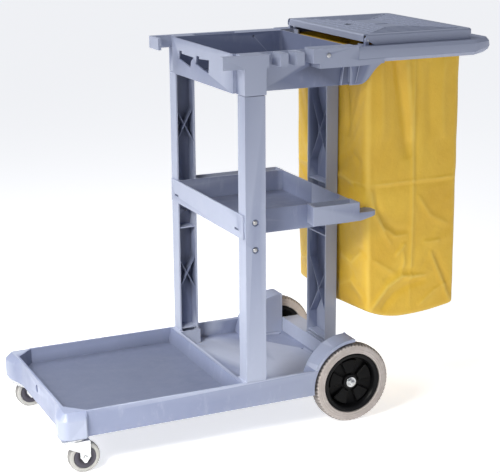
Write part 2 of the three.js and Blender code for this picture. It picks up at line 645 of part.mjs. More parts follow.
function lidRibs() {
  const { x0, x1, y, top } = LID;
  const { insets, width, height, radius, pad } = LID_RIBS;
  const foot = top - height - 1;
  const outline = (inset) => roundedRect(x0 + inset, x1 - inset, -y + inset, y - inset, radius);
  const rings = insets.map((inset) => cut(
    slab(outline(inset), foot, top, 2),
    slab(outline(inset + width), foot - 1, top + 1, 2),
  ));
  const from = insets[0] + width;
  const to = insets[insets.length - 1];
  const spokes = [];
  for (const [, sign] of SIDES) {
    for (const [edge, step] of [[x0, 1], [x1, -1]]) {
      const corner = (inset, shift) => [edge + step * (inset + shift), sign * (y - inset + shift)];
      const points = [corner(from, 2), corner(from, -2), corner(to, -2), corner(to, 2)];
      spokes.push(slab(shapeOf(step * sign > 0 ? points : points.reverse()), foot, top));
    }
  }
  return [...rings, ...spokes, slab(roundedRect(pad[0], pad[1], -pad[2], pad[2], 5), foot, top, 2)];
}

function bagLid() {
  const { x0, x1, y, top, plate, skirt, hem, radius } = LID;
  const corners = (inset) => [2, radius - inset, radius - inset, 2];
  const level = (inset, z) => ring(x0 + inset, x1 - inset, -y + inset, y - inset, corners(inset), z, 5);
  const shell = loft([level(0, hem), level(0, top - 4), level(3, top - LID_RIBS.height)]);
  const body = join(shell, lidRibs());
  const inner = corners(skirt).map((r) => Math.max(r, 0.5));
  const insideOutline = roundedRect(x0 + skirt, x1 - skirt, -y + skirt, y - skirt, inner);
  const inside = slab(insideOutline, hem - 1, top - plate, 5);
  const clearance = HINGE.earRadius + 1.7;
  const { z: hingeHem, reach } = HINGE_HEM;
  const rise = shapeOf([
    [x0 - 1, hem - 1], [x0 + reach, hem - 1], [HINGE.x + 6, hingeHem], [x0 - 1, hingeHem],
  ]);
  const tools = [
    inside,
    sidePlate(rise, -y - 1, y + 1),
    bar('z', top - plate - 1, top + 1, FINGER_HOLE.x, FINGER_HOLE.y, FINGER_HOLE.radius),
    bar('y', -SIDE, SIDE, HINGE.x, HINGE.z, HINGE.pinRadius + GAP, 16),
  ];
  const notch = LID_NOTCH;
  for (const [, sign] of SIDES) {
    tools.push(
      sideBlock(sign, x0 - 1, HINGE.x + clearance, notch.y0, notch.y1, hem - 1, top + 1),
      sideBlock(sign, x0 - 1, x0 + notch.depth, notch.y0, y + 1, notch.bottom, top + 1),
    );
  }
  return cut(body, tools);
}

// ---------------------------------------------------------------- fasteners

function screwBore(sign, x, z) {
  const shank = bar('y', -SIDE - 5, SIDE + 5, x, z, SCREW.shank + GAP, 16);
  const face = sign * POST.y1;
  const [low, high] = [face - SCREW.recessDepth, face + SCREW.recessDepth];
  return join(shank, bar('y', low, high, x, z, SCREW.recess, 16));
}

function armScrewBore(sign) {
  const [low, high] = sign > 0 ? [TRAY.y - 8, POST.y1 + 1] : [-POST.y1 - 1, -TRAY.y + 8];
  return bar('y', low, high, ARM_SCREW.x, ARM_SCREW.z, SCREW.shank + GAP, 16);
}

// A pan-head screw along Y with its head towards the outside of the given side.
function screw(length, segments = 12) {
  const { head, headDepth, shank } = SCREW;
  return turned([
    [0, -headDepth], [head * 0.6, -headDepth], [head, -headDepth * 0.35], [head, 0],
    [shank, 0], [shank, length - 3], [0.6, length], [0, length],
  ], 'y', segments);
}

function placed(mesh, x, y, z, turn = 0) {
  mesh.position.set(x, y, z);
  mesh.rotation.z = turn;
  return mesh;
}

// ---------------------------------------------------------------- rear wheels

function tyre() {
  const { radius, seat, halfWidth } = WHEEL;
  const shoulder = 5;
  return turned([
    [seat, -halfWidth + 4], [radius - 12, -halfWidth], [radius - shoulder, -halfWidth + 1.5],
    [radius, -halfWidth + 7], [radius, halfWidth - 7], [radius - shoulder, halfWidth - 1.5],
    [radius - 12, halfWidth], [seat, halfWidth - 4],
  ], 'y', 44);
}

function hub() {
  const { face, back, dish, webFront, webBack, boss, bore } = HUB;
  const rimRadius = WHEEL.seat - GAP;
  const body = turned([
    [bore, -7], [boss, -7], [boss + 2, webFront], [dish, webFront], [dish + 7, -face], [rimRadius, -face],
    [rimRadius, back - 2], [dish + 6, back - 2], [dish + 2, webBack],
    [boss, webBack], [boss - 2, back + 2], [bore, back + 2],
  ], 'y', 36);
  const paddles = Array.from({ length: HUB.paddles }, (_, index) => {
    const angle = (index / HUB.paddles) * 2 * Math.PI + Math.PI / 2;
    const spread = 0.34;
    const shape = new THREE.Shape();
    shape.absarc(0, 0, dish - 5, angle - spread, angle + spread, false);
    shape.absarc(0, 0, boss + 8, angle + spread * 0.75, angle - spread * 0.75, true);
    return sidePlate(shape, webFront - 4, webFront + 1, 5);
  });
  return join(body, paddles);
}

function hubBush() {
  const inner = AXLE.radius + GAP;
  const outer = HUB.bore - GAP;
  return turned([[inner, -8], [outer, -8], [outer, 19], [inner, 19]], 'y', 20);
}

function washer(inner, outer, thickness) {
  return turned([[inner, 0], [outer, 0], [outer, thickness], [inner, thickness]], 'y', 20);
}

// Closed dome nut, hexagonal skirt towards the wheel.
function domeNut() {
  const hex = new THREE.CylinderGeometry(10, 10, 5, 6);
  hex.translate(0, -2.5, 0);
  const dome = turned([[0, -9], [4, -8.4], [6.8, -6.6], [8, -4], [8, -2], [0, -2]], 'y', 16);
  const bore = bar('y', -6, 1, 0, 0, AXLE.radius + GAP, 24);
  return cut(join(toSolid(hex), dome), bore);
}

function addRearWheel(parent, name, sign) {
  const wheel = new THREE.Group();
  placed(wheel, WHEEL.x, sign * WHEEL.y, WHEEL.radius, sign > 0 ? Math.PI : 0);
  parent.add(wheel);
  addPiece(wheel, `rear_tyre_${name}`, tyre(), 'tyre');
  addPiece(wheel, `rear_hub_${name}`, hub(), 'hub');
  addPiece(wheel, `hub_bush_${name}`, hubBush(), 'steel');
  const axleWasher = addPiece(wheel, `axle_washer_${name}`, washer(AXLE.radius + GAP, 13, 1.6), 'zinc');
  placed(axleWasher, 0, -8 - GAP - 1.6, 0);
  placed(addPiece(wheel, `axle_nut_${name}`, domeNut(), 'zinc'), 0, -8 - 2 * GAP - 1.6, 0);
  const spacerStart = 19 + GAP;
  const spacerEnd = WHEEL.y - FENDER.wallY - GAP;
  const spacer = washer(AXLE.radius + GAP, 10, spacerEnd - spacerStart);
  placed(addPiece(wheel, `axle_spacer_${name}`, spacer, 'steel'), 0, spacerStart, 0);
}

// ---------------------------------------------------------------- casters

function casterPlate() {
  const plate = slab(roundedRect(-21, 27, -22, 22, 5), 85.2, BASE.bottom - GAP, 3);
  return cut(plate, bar('z', 80, 90, 0, 0, 5 + GAP));
}

function casterRace() {
  return turned([[5 + GAP, 80.6], [17, 80.6], [20, 81.8], [20, 83.4], [18, 84.9], [5 + GAP, 84.9]], 'z', 20);
}

function kingpin() {
  return turned([
    [0, 71.5], [7, 71.5], [9, 73], [9, 76.7], [5, 76.7], [5, 98], [0, 98],
  ], 'z', 16);
}

// Pressed fork: a crown, two pointed legs, and a web from each leg to the crown.
function casterFork() {
  const { trail, radius, halfWidth } = CASTER;
  const legInner = halfWidth + 1.6;
  const legOuter = legInner + 2.4;
  const legHalf = 12.5;
  const crown = slab(roundedRect(-18, trail + legHalf, -legOuter, legOuter, [14, 3, 3, 14]), 77.2, 80.2, 5);
  const leg = shapeOf([
    [trail - legHalf, 79], [trail + legHalf, 79], [trail + legHalf, radius + 2], [trail + 2.5, radius - 12],
    [trail - 2.5, radius - 12], [trail - legHalf, radius + 2],
  ]);
  const web = shapeOf([[-14, 79], [-14, 70], [trail - legHalf + 1, radius + 14], [trail - legHalf + 1, 79]]);
  const webInner = legInner - 0.7;
  const plates = [
    sidePlate(leg, -legOuter, -legInner), sidePlate(leg, legInner, legOuter),
    sidePlate(web, -legInner - 0.6, -webInner), sidePlate(web, webInner, legInner + 0.6),
  ];
  return cut(join(crown, plates), [
    bar('z', 70, 90, 0, 0, 5 + GAP),
    bar('y', -legOuter - 1, legOuter + 1, trail, radius, 3.5 + GAP, 20),
  ]);
}

function casterCore() {
  const { halfWidth, core } = CASTER;
  return turned([
    [3.5 + GAP, -halfWidth - 0.6], [8, -halfWidth - 0.6], [9, -halfWidth + 3],
    [14, -halfWidth + 3], [15.5, -halfWidth + 1.5], [core - 4, -halfWidth + 1.5],
    [core, -halfWidth + 0.5], [core, halfWidth - 0.5], [core - 4, halfWidth - 1.5],
    [15.5, halfWidth - 1.5], [14, halfWidth - 3], [9, halfWidth - 3],
    [8, halfWidth + 0.6], [3.5 + GAP, halfWidth + 0.6],
  ], 'y', 24);
}

function casterTread() {
  const { halfWidth, core, radius } = CASTER;
  return turned([
    [core + GAP, -halfWidth], [radius - 4, -halfWidth],
    [radius - 1, -halfWidth + 2.5], [radius, -halfWidth + 6],
    [radius, halfWidth - 6], [radius - 1, halfWidth - 2.5], [radius - 4, halfWidth], [core + GAP, halfWidth],
  ], 'y', 32);
}

function casterBolt() {
  const outer = CASTER.halfWidth + 1.6 + 2.4 + GAP;
  return turned([
    [0, -outer - 3.5], [5.5, -outer - 3.5], [6, -outer - 2.5], [6, -outer],
    [3.5, -outer], [3.5, outer + 6], [0, outer + 6],
  ],
    'y', 14);
}

function casterNut() {
  const outer = CASTER.halfWidth + 1.6 + 2.4 + GAP;
  const hex = new THREE.CylinderGeometry(6.2, 6.2, 5, 6);
  hex.translate(0, outer + 2.5, 0);
  return cut(toSolid(hex), bar('y', 0, 30, 0, 0, 3.5 + GAP, 20));
}

function addCaster(parent, name, sign) {
  const caster = new THREE.Group();
  placed(caster, CASTER.x, sign * CASTER.y, 0);
  parent.add(caster);
  addPiece(caster, `caster_plate_${name}`, casterPlate(), 'zinc');
  addPiece(caster, `caster_race_${name}`, casterRace(), 'zinc');
  addPiece(caster, `caster_kingpin_${name}`, kingpin(), 'steel');
  addPiece(caster, `caster_fork_${name}`, casterFork(), 'zinc');
  const wheel = new THREE.Group();
  placed(wheel, CASTER.trail, 0, CASTER.radius);
  caster.add(wheel);
  addPiece(wheel, `caster_core_${name}`, casterCore(), 'core');
  addPiece(wheel, `caster_tread_${name}`, casterTread(), 'tyre');
  addPiece(wheel, `caster_bolt_${name}`, casterBolt(), 'zinc');
  addPiece(wheel, `caster_nut_${name}`, casterNut(), 'zinc');
}

// ---------------------------------------------------------------- assembly

const group = new THREE.Group();
const cart = new THREE.Group();
cart.position.x = -(BUMPER.x0 + FRAME.x1) / 2;
group.add(cart);

addPiece(cart, 'base_platform', basePlatform(), 'plastic');
addPiece(cart, 'post_front_near', frontPost(-1), 'plastic');
addPiece(cart, 'post_front_far', frontPost(1), 'plastic');
addPiece(cart, 'post_rear', rearPost(), 'plastic');
addPiece(cart, 'middle_shelf', middleShelf(), 'plastic');
addPiece(cart, 'top_tray', topTray(), 'plastic');
addPiece(cart, 'bag_frame', bagFrame(), 'plastic');
addPiece(cart, 'vinyl_bag', vinylBag(), 'bag');
addPiece(cart, 'bag_lid', bagLid(), 'plastic');
addPiece(cart, 'rear_axle', bar('y', -AXLE.reach, AXLE.reach, WHEEL.x, WHEEL.radius, AXLE.radius), 'steel');

for (const [name, sign] of SIDES) {
  const turn = sign > 0 ? Math.PI : 0;
  addRearWheel(cart, name, sign);
  addCaster(cart, name, sign);
  POST_SCREWS.forEach((z, index) => {
    const seat = sign * (POST.y1 - SCREW.recessDepth + GAP);
    const fastener = addPiece(cart, `post_screw_${name}_${index + 1}`, screw(SCREW.length), 'steel');
    placed(fastener, POST_SCREW_X, seat, z, turn);
  });
  const arm = addPiece(cart, `arm_screw_${name}`, screw(SCREW.length + 16), 'steel');
  placed(arm, ARM_SCREW.x, sign * (POST.y1 + GAP), ARM_SCREW.z, turn);
  const pinEnds = sign > 0 ? [HINGE.earY0 - 1, LID.y] : [-LID.y, -HINGE.earY0 + 1];
  const pin = bar('y', ...pinEnds, HINGE.x, HINGE.z, HINGE.pinRadius, 16);
  addPiece(cart, `lid_hinge_pin_${name}`, pin, 'steel');
}
SPINE_SCREWS.forEach(([y, z], index) => {
  const mesh = addPiece(cart, `spine_screw_${index + 1}`, screw(SPINE.x1 - SHELF.x1 + 1.5), 'steel');
  placed(mesh, SPINE.x1 + GAP, y, z, Math.PI / 2);
});

export default group;
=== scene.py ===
"""Looks for the housekeeping cart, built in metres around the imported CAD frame."""
import json
import math

import bmesh
import bpy
import numpy as np
from mathutils import Matrix, Vector


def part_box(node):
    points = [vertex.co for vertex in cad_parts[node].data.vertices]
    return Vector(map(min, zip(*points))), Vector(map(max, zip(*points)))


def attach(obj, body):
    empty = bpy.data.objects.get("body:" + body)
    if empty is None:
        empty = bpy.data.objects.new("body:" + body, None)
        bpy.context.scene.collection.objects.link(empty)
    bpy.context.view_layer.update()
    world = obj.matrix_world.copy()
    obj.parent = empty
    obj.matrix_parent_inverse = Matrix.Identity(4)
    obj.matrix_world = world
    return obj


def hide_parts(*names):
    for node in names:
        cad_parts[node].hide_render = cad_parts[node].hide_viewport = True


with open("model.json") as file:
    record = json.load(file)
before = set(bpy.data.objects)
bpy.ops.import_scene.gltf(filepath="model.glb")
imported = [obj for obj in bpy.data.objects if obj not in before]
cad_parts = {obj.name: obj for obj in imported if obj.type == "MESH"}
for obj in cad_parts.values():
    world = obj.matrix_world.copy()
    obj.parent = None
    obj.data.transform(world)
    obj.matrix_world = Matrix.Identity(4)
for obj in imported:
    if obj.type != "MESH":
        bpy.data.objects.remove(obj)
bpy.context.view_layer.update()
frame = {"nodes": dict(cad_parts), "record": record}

MM = 0.001
SIDES = {"near": -1, "far": 1}

# ---------------------------------------------------------------- camera, light and floor

CAMERA_PLACE = Vector((-1.3904, -3.0476, 1.3516))
CAMERA_YAW = math.radians(24.65)      # from +Y towards +X
CAMERA_PITCH = math.radians(15.13)    # downwards
CAMERA_ROLL = math.radians(-0.35)
CAMERA_LENS = 98.9
SENSOR_WIDTH = 36.0


def add_camera():
    forward = Vector((
        math.sin(CAMERA_YAW) * math.cos(CAMERA_PITCH),
        math.cos(CAMERA_YAW) * math.cos(CAMERA_PITCH),
        -math.sin(CAMERA_PITCH),
    ))
    level_right = forward.cross(Vector((0, 0, 1))).normalized()
    level_up = level_right.cross(forward)
    right = level_right * math.cos(CAMERA_ROLL) + level_up * math.sin(CAMERA_ROLL)
    up = level_up * math.cos(CAMERA_ROLL) - level_right * math.sin(CAMERA_ROLL)
    data = bpy.data.cameras.new("camera")
    data.lens = CAMERA_LENS
    data.sensor_width = SENSOR_WIDTH
    camera = bpy.data.objects.new("camera", data)
    turn = Matrix((right, up, -forward)).transposed().to_4x4()
    camera.matrix_world = Matrix.Translation(CAMERA_PLACE) @ turn
    bpy.context.scene.collection.objects.link(camera)
    bpy.context.scene.camera = camera


def add_area_light(name, place, target, size, power, colour=(1, 1, 1), spread=180):
    data = bpy.data.lights.new(name, "AREA")
    data.shape = "RECTANGLE"
    data.size, data.size_y = size
    data.energy = power
    data.color = colour
    data.spread = math.radians(spread)
    light = bpy.data.objects.new(name, data)
    light.location = place
    aim = Vector(target) - Vector(place)
    light.rotation_euler = aim.to_track_quat("-Z", "Y").to_euler()
    bpy.context.scene.collection.objects.link(light)


def add_world(light_level, seen_level):
    world = bpy.data.worlds.new("studio")
    world.use_nodes = True
    nodes, links = world.node_tree.nodes, world.node_tree.links
    background = nodes["Background"]
    background.inputs["Color"].default_value = (0.90, 0.95, 1.08, 1)
    path = nodes.new("ShaderNodeLightPath")
    level = nodes.new("ShaderNodeMix")
    level.data_type = "FLOAT"
    level.inputs["A"].default_value = light_level
    level.inputs["B"].default_value = seen_level
    links.new(path.outputs["Is Camera Ray"], level.inputs["Factor"])
    links.new(level.outputs["Result"], background.inputs["Strength"])
    bpy.context.scene.world = world


def add_floor(radius):
    bpy.ops.mesh.primitive_circle_add(vertices=96, radius=radius, fill_type="NGON", location=(0, 0, 0))
    floor = bpy.context.object
    floor.name = "floor"
    material = bpy.data.materials.new("floor_pale")
    material.use_nodes = True
    shader = material.node_tree.nodes["Principled BSDF"]
    shader.inputs["Base Color"].default_value = (0.82, 0.82, 0.82, 1)
    shader.inputs["Roughness"].default_value = 0.9
    shader.inputs["Emission Color"].default_value = (1, 1, 1, 1)
    shader.inputs["Emission Strength"].default_value = 0.64
    floor.data.materials.append(material)


# ---------------------------------------------------------------- materials

class Nodes:
    """A material's node tree, with short calls for what the materials below repeat."""

    def __init__(self, name):
        self.material = bpy.data.materials.new(name)
        self.material.use_nodes = True
        self.tree = self.material.node_tree
        self.shader = self.tree.nodes["Principled BSDF"]
        self.place = self.add("ShaderNodeTexCoord").outputs["Object"]

    def add(self, kind, **settings):
        node = self.tree.nodes.new(kind)
        for key, value in settings.items():
            setattr(node, key, value)
        return node

    def link(self, source, target):
        self.tree.links.new(source, target)

    def noise(self, scale, detail=2.0, roughness=0.5, stretch=(1, 1, 1)):
        mapping = self.add("ShaderNodeMapping")
        mapping.inputs["Scale"].default_value = stretch
        self.link(self.place, mapping.inputs["Vector"])
        node = self.add("ShaderNodeTexNoise")
        node.inputs["Scale"].default_value = scale
        node.inputs["Detail"].default_value = detail
        node.inputs["Roughness"].default_value = roughness
        self.link(mapping.outputs["Vector"], node.inputs["Vector"])
        return node.outputs["Fac"]

    def ramp(self, source, low, high, start=0.0, end=1.0):
        node = self.add("ShaderNodeMapRange")
        node.inputs["From Min"].default_value = start
        node.inputs["From Max"].default_value = end
        node.inputs["To Min"].default_value = low
        node.inputs["To Max"].default_value = high
        self.link(source, node.inputs["Value"])
        return node.outputs["Result"]

    def blend_colours(self, factor, first, second):
        node = self.add("ShaderNodeMix", data_type="RGBA")
        self.link(factor, node.inputs["Factor"])
        for value, socket in ((first, "A"), (second, "B")):
            target = [s for s in node.inputs if s.name == socket and s.type == "RGBA"][0]
            if isinstance(value, tuple):
                target.default_value = (*value, 1)
            else:
                self.link(value, target)
        return [s for s in node.outputs if s.type == "RGBA"][0]

    def math(self, operation, first, second):
        node = self.add("ShaderNodeMath", operation=operation)
        for index, value in enumerate((first, second)):
            if isinstance(value, (int, float)):
                node.inputs[index].default_value = value
            else:
                self.link(value, node.inputs[index])
        return node.outputs["Value"]

    def bump(self, height, distance, strength=1.0, below=None):
        node = self.add("ShaderNodeBump")
        node.inputs["Distance"].default_value = distance
        node.inputs["Strength"].default_value = strength
        self.link(height, node.inputs["Height"])
        if below is not None:
            self.link(below, node.inputs["Normal"])
        return node.outputs["Normal"]

    def set(self, **values):
        for key, value in values.items():
            socket = self.shader.inputs[key.replace("_", " ").title()]
            if isinstance(value, (int, float)):
                socket.default_value = value
            elif isinstance(value, tuple):
                socket.default_value = (*value, 1)
            else:
                self.link(value, socket)

    def convex_edges(self, low=0.515, high=0.57):
        geometry = self.add("ShaderNodeNewGeometry")
        return self.ramp(geometry.outputs["Pointiness"], 0, 1, low, high)


def moulded_plastic(name, colour, wear_and_highlight, dull, grain=70 * MM, shine=0.45):
    """Injection-moulded polypropylene: fine grain, soft mottling, light dust, convex edges painted lighter
    (partly rubbed wear, partly painted highlight), and painted shade in the hollows.
    """
    m = Nodes(name)
    mottle = m.ramp(m.noise(9, 4, 0.6), 0, 1, 0.35, 0.65)
    body = m.blend_colours(mottle, colour, dull)
    scuffs = m.ramp(m.noise(38, 6, 0.7, (1, 1, 0.35)), 0, 0.28, 0.56, 0.74)
    scuffed = m.blend_colours(scuffs, body, wear_and_highlight)
    # Convex edges lightened: partly rubbed wear, partly a painted highlight.
    edges = m.math("MULTIPLY", m.convex_edges(), 0.8)
    rubbed_and_highlit = m.blend_colours(edges, scuffed, wear_and_highlight)
    # Painted shade: concave hollows darkened towards a third of the dull tone.
    hollow_shade = m.ramp(m.add("ShaderNodeNewGeometry").outputs["Pointiness"], 0.7, 0, 0.43, 0.485)
    m.set(Base_Color=m.blend_colours(hollow_shade, rubbed_and_highlit, tuple(0.35 * part for part in dull)))
    m.set(Roughness=m.ramp(m.noise(24, 5, 0.65), 0.30, 0.47, 0.3, 0.7))
    m.shader.inputs["Specular IOR Level"].default_value = shine
    grain_height = m.noise(1 / (1.1 * MM), 2, 0.6)
    wave = m.noise(1 / grain, 3, 0.5)
    m.set(Normal=m.bump(grain_height, 0.05 * MM, 0.55, m.bump(wave, 0.9 * MM, 0.5)))
    return m.material


def vinyl(name, colour, deep, light):
    """Coated nylon vinyl: semi-gloss, fine weave under the coating; fold ridges painted lighter as a painted
    highlight, so the folds look darker.
    """
    m = Nodes(name)
    cloud = m.ramp(m.noise(7, 4, 0.6), 0, 1, 0.3, 0.7)
    body = m.blend_colours(cloud, colour, deep)
    # Painted highlight: convex fold ridges lightened towards the light colour.
    edges = m.math("MULTIPLY", m.convex_edges(0.505, 0.56), 0.5)
    m.set(Base_Color=m.blend_colours(edges, body, light))
    m.set(Roughness=m.ramp(m.noise(30, 4, 0.6), 0.36, 0.52, 0.3, 0.7))
    weave = m.noise(1 / (0.9 * MM), 1, 0.5)
    crinkle = m.noise(42, 6, 0.66)
    m.set(Normal=m.bump(weave, 0.06 * MM, 0.5, m.bump(crinkle, 2.2 * MM, 0.8)))
    return m.material


def rubber(name, colour, dusty, grubby):
    """Grey non-marking rubber: dusty scuffs, and grubby where it faces away from the axle."""
    m = Nodes(name)
    dust = m.ramp(m.noise(26, 6, 0.7), 0, 1, 0.42, 0.66)
    body = m.blend_colours(dust, colour, dusty)
    facing = m.add("ShaderNodeSeparateXYZ")
    m.link(m.add("ShaderNodeTexCoord").outputs["Normal"], facing.inputs["Vector"])
    sideways = m.math("ABSOLUTE", facing.outputs["Y"], 0)
    tread = m.ramp(sideways, 1, 0, 0.35, 0.85)
    patchy = m.math("MULTIPLY", tread, m.ramp(m.noise(70, 5, 0.7), 0.55, 1, 0.35, 0.6))
    m.set(Base_Color=m.blend_colours(patchy, body, grubby))
    m.set(Roughness=m.ramp(m.noise(60, 4, 0.6), 0.62, 0.85, 0.3, 0.7))
    m.set(Normal=m.bump(m.noise(1 / (0.8 * MM), 3, 0.6), 0.08 * MM, 0.6))
    return m.material


def metal(name, colour, stained, smooth, rough):
    """Plated steel: thin scratches and faint stains."""
    m = Nodes(name)
    stain = m.ramp(m.noise(45, 5, 0.65), 0, 1, 0.45, 0.72)
    m.set(Base_Color=m.blend_colours(stain, colour, stained))
    m.set(Metallic=1.0)
    m.set(Roughness=m.ramp(m.noise(120, 5, 0.7, (1, 6, 1)), smooth, rough, 0.3, 0.7))
    m.set(Normal=m.bump(m.noise(900, 3, 0.6, (1, 8, 1)), 0.03 * MM, 0.5))
    return m.material


PLASTIC = moulded_plastic("cart_plastic", (0.225, 0.255, 0.375), (0.42, 0.455, 0.57), (0.205, 0.234, 0.350))
VINYL = vinyl("bag_vinyl", (0.88, 0.565, 0.055), (0.78, 0.46, 0.034), (0.95, 0.74, 0.20))
TYRE = rubber("tyre_rubber", (0.47, 0.415, 0.385), (0.56, 0.505, 0.475), (0.20, 0.18, 0.165))
CASTER_RUBBER = rubber("caster_rubber", (0.36, 0.355, 0.34), (0.44, 0.43, 0.41), (0.20, 0.195, 0.19))
HUB = moulded_plastic(
    "hub_plastic", (0.0035, 0.0035, 0.004), (0.010, 0.010, 0.011), (0.0045, 0.0045, 0.005), shine=0.12,
)
CORE = moulded_plastic(
    "caster_core", (0.045, 0.040, 0.056), (0.08, 0.075, 0.095), (0.036, 0.033, 0.045), shine=0.3,
)
ZINC = metal("zinc", (0.72, 0.73, 0.74), (0.56, 0.57, 0.57), 0.2, 0.36)
STEEL = metal("steel", (0.60, 0.60, 0.60), (0.46, 0.45, 0.44), 0.26, 0.42)

SLOT_MATERIALS = {
    "cart_plastic": PLASTIC,
    "bag_vinyl": VINYL,
    "hub_plastic": HUB,
    "tyre_rubber": TYRE,
    "caster_core": CORE,
    "zinc": ZINC,
    "steel": STEEL,
}

# ---------------------------------------------------------------- carried-over CAD nodes

EDGE_ROUNDING = {"cart_plastic": 1.1 * MM, "zinc": 0.35 * MM, "steel": 0.25 * MM, "hub_plastic": 0.6 * MM}


def shade_smooth_group():
    """Geometry nodes that turn smooth shading on."""
    group = bpy.data.node_groups.new("shade_smooth", "GeometryNodeTree")
    group.interface.new_socket("Geometry", in_out="INPUT", socket_type="NodeSocketGeometry")
    group.interface.new_socket("Geometry", in_out="OUTPUT", socket_type="NodeSocketGeometry")
    start, end = group.nodes.new("NodeGroupInput"), group.nodes.new("NodeGroupOutput")
    smooth = group.nodes.new("GeometryNodeSetShadeSmooth")
    group.links.new(start.outputs[0], smooth.inputs["Geometry"])
    group.links.new(smooth.outputs["Geometry"], end.inputs[0])
    return group


SHADE_SMOOTH = shade_smooth_group()


def soften_edges(node, width):
    """Moulded pieces have no knife edges: merge, round every sharp edge, shade by face size."""
    weld = node.modifiers.new("weld", "WELD")
    weld.merge_threshold = 0.01 * MM
    flat = node.modifiers.new("flat", "DECIMATE")
    flat.decimate_type = "DISSOLVE"
    flat.angle_limit = math.radians(0.5)
    bevel = node.modifiers.new("round", "BEVEL")
    bevel.width = width
    bevel.segments = 2
    bevel.limit_method = "ANGLE"
    bevel.angle_limit = math.radians(32)
    bevel.use_clamp_overlap = True
    smooth = node.modifiers.new("smooth", "NODES")
    smooth.node_group = SHADE_SMOOTH
    weighted = node.modifiers.new("weighted", "WEIGHTED_NORMAL")
    weighted.keep_sharp = False


SLOT_OF = {part["node"]: part["material_slot"] for part in frame["record"]["subparts"]}


def dress_cad_nodes():
    for name, node in frame["nodes"].items():
        slot = SLOT_OF[name]
        node.data.materials.clear()
        node.data.materials.append(SLOT_MATERIALS[slot])
        if slot in EDGE_ROUNDING:
            soften_edges(node, EDGE_ROUNDING[slot])


# ---------------------------------------------------------------- meshes

def mesh_piece(name, points, faces, material, body, slot, *replaced):
    mesh = bpy.data.meshes.new(name)
    mesh.from_pydata([tuple(point) for point in points], [], faces)
    mesh.polygons.foreach_set("use_smooth", [True] * len(mesh.polygons))
    mesh.materials.append(material)
    piece = bpy.data.objects.new(name, mesh)
    bpy.context.scene.collection.objects.link(piece)
    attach(piece, body)
    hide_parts(*replaced)
    return piece


def ring_faces(rings, count, closed=False):
    """Quads between successive rings of count points each; closed also joins the last to the first."""
    faces = []
    for row in range(rings if closed else rings - 1):
        first, second = row * count, ((row + 1) % rings) * count
        for index in range(count):
            after = (index + 1) % count
            faces.append((first + index, first + after, second + after, second + index))
    return faces


def lathe(name, profile, centre, segments, material, body, slot, replaced, teeth=None):
    """A solid of revolution about a line along Y through centre; profile is (radius, y) in mm."""
    angles = np.linspace(0, 2 * math.pi, segments, endpoint=False)
    points = []
    for radius, along in profile:
        reach = radius * MM * np.ones(segments)
        if teeth:
            reach -= teeth(radius, along, angles) * MM
        points += [
            (centre.x + r * math.cos(a), centre.y + along * MM, centre.z + r * math.sin(a))
            for r, a in zip(reach, angles)
        ]
    faces = ring_faces(len(profile), segments, closed=True)
    return mesh_piece(name, points, faces, material, body, slot, replaced)


def middle_of(node):
    low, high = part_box(node)
    return (Vector(low) + Vector(high)) / 2


# ---------------------------------------------------------------- wheels

TREAD_TEETH = 64
TREAD_DEPTH = 2.4           # mm
SIDE_WALL_LINES = (82.6, 88.2, 93.4)    # radii of the fine lines, mm
TYRE_HALF_WIDTH = 18        # mm
CASTER_HALF_WIDTH = 12      # mm
CASTER_STEPS = 120


def tyre_profile(half):
    """Grey tyre: rim lip, three fine lines round the side wall, rounded shoulder, flat tread."""
    side = [(76.6, half - 6), (77.4, half - 1.2), (78.6, half - 0.2), (80.6, half)]
    for line in SIDE_WALL_LINES:
        side += [(line - 0.9, half), (line, half - 1.1), (line + 0.9, half)]
    side += [(95.6, half - 0.5), (97.6, half - 2), (99.3, half - 4), (100.5, half - 6.6), (101.1, half - 9)]
    tread = [(101.4, half - 10), (101.5, half - 12)]
    outer = side + tread
    return outer + [(radius, -along) for radius, along in reversed(outer)]


def tread_notches(radius, along, angles):
    """Notches across the tread's shoulders, shallow along its middle, none on the side wall."""
    strength = max(0.0, min(1.0, (radius - 96.5) / 2.5)) * (1.0 if abs(along) > 7 else 0.25)
    wave = np.sin(angles * TREAD_TEETH)
    return TREAD_DEPTH * strength * np.clip(wave * 2.2, 0, 1)


def small_tread_profile(half):
    side = [(26.6, half - 3), (27.2, half - 0.6), (29, half), (31.4, half), (32, half - 0.5), (32.6, half)]
    side += [(34.2, half - 0.4), (36, half - 2), (37.2, half - 4.2), (37.9, half - 7), (38, half - 9)]
    return side + [(radius, -along) for radius, along in reversed(side)]


HUB_BOWL = (
    (9.4, 7.6), (17.5, 7.6), (18.6, 6.6), (19, -2), (58, -4.5), (61.5, -2), (63.5, 8),
    (66, 13.5), (68, 15), (74.2, 15.4), (75.2, 14.6), (76, 12), (76, -14), (72, -15.6), (66, -15.6),
    (62, -9), (24, -9), (19, -15.6), (9.4, -15.6),
)
PADDLES = 5
PADDLE_HALF_ANGLE = math.radians(21)
FIRST_PADDLE = math.radians(94)
PADDLE_STEPS = 7
PADDLE_RADII = (23, 58.5)   # inner and outer, mm
PADDLE_LEVELS = ((-5.5, 0), (3.6, 0), (5.2, 1.6))   # height and how far the edge draws in, mm
HUB_STEPS = 96
SHARP_EDGE = 40             # degrees


